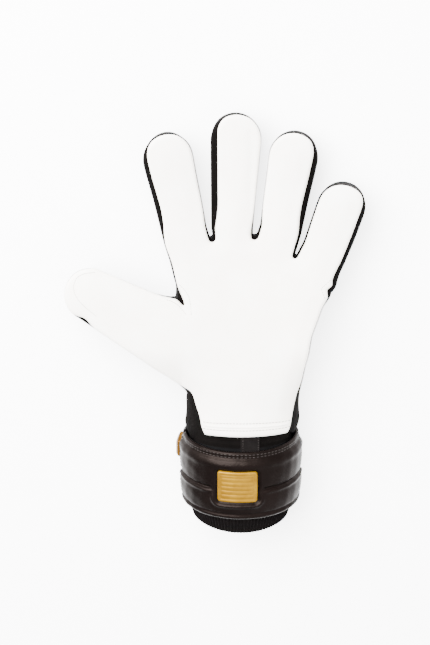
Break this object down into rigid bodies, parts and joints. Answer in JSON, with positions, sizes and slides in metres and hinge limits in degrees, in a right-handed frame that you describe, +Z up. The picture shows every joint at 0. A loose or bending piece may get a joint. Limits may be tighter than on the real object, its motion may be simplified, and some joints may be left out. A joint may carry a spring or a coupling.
{
  "type": "goalkeeper glove",
  "caption": "Left-hand goalkeeper glove lying palm up, with a latex palm, gusseted fingers that curl, a flexing wrist and a wrist strap that peels open.",
  "frame": {"origin": "middle of the glove's underside, on the surface it lies on", "axes": "+Y from the cuff to the fingertips, +X from the thumb to the little finger, +Z up out of the palm"},
  "size_m": [0.2164, 0.2986, 0.0663],
  "materials": {
    "latex": "matte foam",
    "knit": "matte",
    "leather": "satin",
    "rib": "ribbed",
    "lining": "napped",
    "gold": "satin metallic"
  },
  "bodies": {
    "hand": {"back_lining": "lining", "backhand": "knit", "index_middle_gusset": "knit", "little_side_gusset": "knit", "little_wrist_panel": "knit", "middle_ring_gusset": "knit", "palm_hem": "latex", "palm_latex": "latex", "palm_lining": "lining", "ring_little_gusset": "knit", "thumb_crotch_gusset": "knit", "thumb_side_gusset": "knit", "thumb_wrist_panel": "knit"},
    "thumb_lower": {"thumb_lower_pad": "latex", "thumb_lower_back": "knit", "thumb_inner_gusset": "knit", "thumb_outer_gusset": "knit"},
    "thumb_tip": {"thumb_tip_pad": "latex", "thumb_tip_back": "knit", "thumb_tip_gusset": "knit"},
    "index_lower": {"index_lower_pad": "latex", "index_lower_back": "knit", "index_inner_gusset": "knit", "index_outer_gusset": "knit"},
    "index_tip": {"index_tip_pad": "latex", "index_tip_back": "knit", "index_tip_gusset": "knit"},
    "middle_lower": {"middle_lower_pad": "latex", "middle_lower_back": "knit", "middle_inner_gusset": "knit", "middle_outer_gusset": "knit"},
    "middle_tip": {"middle_tip_pad": "latex", "middle_tip_back": "knit", "middle_tip_gusset": "knit"},
    "ring_lower": {"ring_lower_pad": "latex", "ring_lower_back": "knit", "ring_inner_gusset": "knit", "ring_outer_gusset": "knit"},
    "ring_tip": {"ring_tip_pad": "latex", "ring_tip_back": "knit", "ring_tip_gusset": "knit"},
    "little_lower": {"little_lower_pad": "latex", "little_lower_back": "knit", "little_inner_gusset": "knit", "little_outer_gusset": "knit"},
    "little_tip": {"little_tip_pad": "latex", "little_tip_back": "knit", "little_tip_gusset": "knit"},
    "cuff": {"wrist_sleeve": "knit", "wrist_web": "knit", "entry_strip": "rib", "rib_cuff": "rib", "strap_back": "leather", "loop_patch": "lining", "side_badge": "gold"},
    "strap": {"strap_flap": "leather", "hook_patch": "lining", "front_badge": "gold", "badge_bezel": "leather"}
  },
  "joints": [
    {"name": "thumb_knuckle", "type": "hinge", "parent": "hand", "child": "thumb_lower", "pos_m": [-0.04137, -0.00298, 0.04443], "axis": [0.4213, 0.884, -0.2028], "range_deg": [0, 35], "stiffness_Nm_per_rad": 0.06},
    {"name": "thumb_middle_joint", "type": "hinge", "parent": "thumb_lower", "child": "thumb_tip", "pos_m": [-0.07119, 0.0148, 0.04577], "axis": [0.416, 0.8768, -0.2412], "range_deg": [0, 50], "stiffness_Nm_per_rad": 0.05},
    {"name": "index_knuckle", "type": "hinge", "parent": "hand", "child": "index_lower", "pos_m": [-0.02007, 0.05969, 0.03054], "axis": [0.9932, -0.0124, -0.1156], "range_deg": [0, 40], "stiffness_Nm_per_rad": 0.06},
    {"name": "index_middle_joint", "type": "hinge", "parent": "index_lower", "child": "index_tip", "pos_m": [-0.02769, 0.09601, 0.02811], "axis": [0.9924, -0.0047, -0.1232], "range_deg": [0, 55], "stiffness_Nm_per_rad": 0.05},
    {"name": "middle_knuckle", "type": "hinge", "parent": "hand", "child": "middle_lower", "pos_m": [0.01196, 0.06141, 0.02764], "axis": [0.9975, -0.0568, -0.0411], "range_deg": [0, 40], "stiffness_Nm_per_rad": 0.06},
    {"name": "middle_middle_joint", "type": "hinge", "parent": "middle_lower", "child": "middle_tip", "pos_m": [0.01357, 0.10119, 0.02442], "axis": [0.998, -0.0484, -0.0405], "range_deg": [0, 55], "stiffness_Nm_per_rad": 0.05},
    {"name": "ring_knuckle", "type": "hinge", "parent": "hand", "child": "ring_lower", "pos_m": [0.04569, 0.06144, 0.02807], "axis": [0.9974, 0.0245, 0.0681], "range_deg": [0, 40], "stiffness_Nm_per_rad": 0.06},
    {"name": "ring_middle_joint", "type": "hinge", "parent": "ring_lower", "child": "ring_tip", "pos_m": [0.05127, 0.09715, 0.02536], "axis": [0.9963, 0.0182, 0.0835], "range_deg": [0, 55], "stiffness_Nm_per_rad": 0.05},
    {"name": "little_knuckle", "type": "hinge", "parent": "hand", "child": "little_lower", "pos_m": [0.07599, 0.04889, 0.03274], "axis": [0.9847, -0.1026, 0.1406], "range_deg": [0, 40], "stiffness_Nm_per_rad": 0.06},
    {"name": "little_middle_joint", "type": "hinge", "parent": "little_lower", "child": "little_tip", "pos_m": [0.08384, 0.07091, 0.03108], "axis": [0.9813, -0.1317, 0.1401], "range_deg": [0, 55], "stiffness_Nm_per_rad": 0.05},
    {"name": "wrist", "type": "hinge", "parent": "hand", "child": "cuff", "pos_m": [0.01897, -0.0765, 0.03157], "axis": [1, 0, 0], "range_deg": [-18, 8], "stiffness_Nm_per_rad": 2, "deforming": ["wrist_web", "entry_strip"]},
    {"name": "strap_hinge", "type": "hinge", "parent": "cuff", "child": "strap", "pos_m": [0.06247, -0.11025, 0.03185], "axis": [0, 1, 0], "range_deg": [0, 110]}
  ]
}
